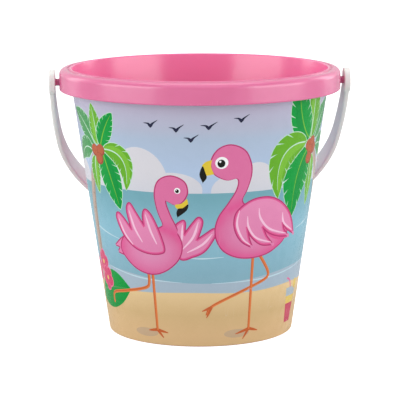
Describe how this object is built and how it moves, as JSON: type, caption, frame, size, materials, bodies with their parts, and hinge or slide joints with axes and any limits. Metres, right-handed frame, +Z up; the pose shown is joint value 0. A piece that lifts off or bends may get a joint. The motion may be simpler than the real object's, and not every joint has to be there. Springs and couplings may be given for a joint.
{
  "type": "sand bucket",
  "caption": "Tapered plastic sand bucket with a rolled rim, a printed wrap around the wall and a swinging bail handle snapped onto side pegs.",
  "frame": {"origin": "on the ground plane under the centre of the foot ring", "axes": "+Z up along the bucket's axis, X along the handle's pivot line, +Y towards the back, where the handle hangs at rest"},
  "size_m": [0.193, 0.18, 0.17],
  "materials": {
    "shell_plastic": "glossy moulded polypropylene, opaque pink",
    "label_film": "glossy printed film with a beach scene, moulded into the wall",
    "handle_plastic": "satin moulded polypropylene, white"
  },
  "bodies": {
    "bucket": {"bucket_shell": "shell_plastic", "printed_label": "label_film"},
    "handle": {"handle": "handle_plastic"}
  },
  "joints": [
    {"name": "handle_swing", "type": "hinge", "parent": "bucket", "child": "handle", "pos_m": [0, 0, 0.1607], "axis": [1, 0, 0], "range_deg": [0, 287.6]}
  ]
}
